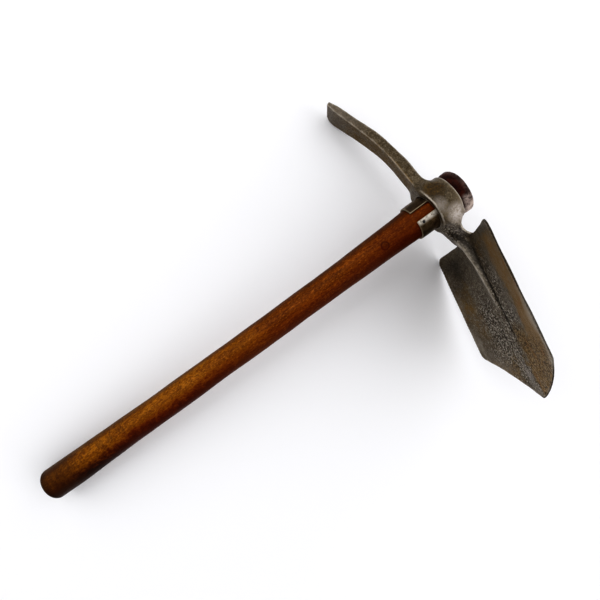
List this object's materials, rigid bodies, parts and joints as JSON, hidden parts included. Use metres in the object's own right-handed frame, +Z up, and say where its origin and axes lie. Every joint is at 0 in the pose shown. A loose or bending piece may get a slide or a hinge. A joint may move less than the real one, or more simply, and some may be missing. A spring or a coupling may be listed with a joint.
{
  "type": "pick and shovel tool",
  "caption": "Short hand digging tool: forged head with a flat chisel pick and a dished pointed shovel blade, wedged on a round wooden handle with a split steel collar.",
  "frame": {"origin": "middle of the tool's box, on the floor that it lies on", "axes": "+X along the handle towards the head, +Y towards the pick, +Z up from the floor; the tool lies at rest on its butt, its pick's corner and one blade shoulder, so the handle rises 5.5 degrees towards +X"},
  "size_m": [0.5111, 0.3541, 0.1834],
  "materials": {
    "handle_wood": "worn oil finish, red-brown",
    "head_steel": "forged, grey with brown patina",
    "collar_steel": "dark sheet steel, worn bright at the slit",
    "nail_steel": "dark"
  },
  "bodies": {
    "head": {"head": "head_steel"},
    "haft": {"handle": "handle_wood", "collar": "collar_steel", "collar_nails": "nail_steel"}
  },
  "joints": [
    {"name": "handle_draw", "type": "slide", "parent": "head", "child": "haft", "axis": [0.9954, 0, 0.0962], "range_m": [0, 0.45]}
  ]
}
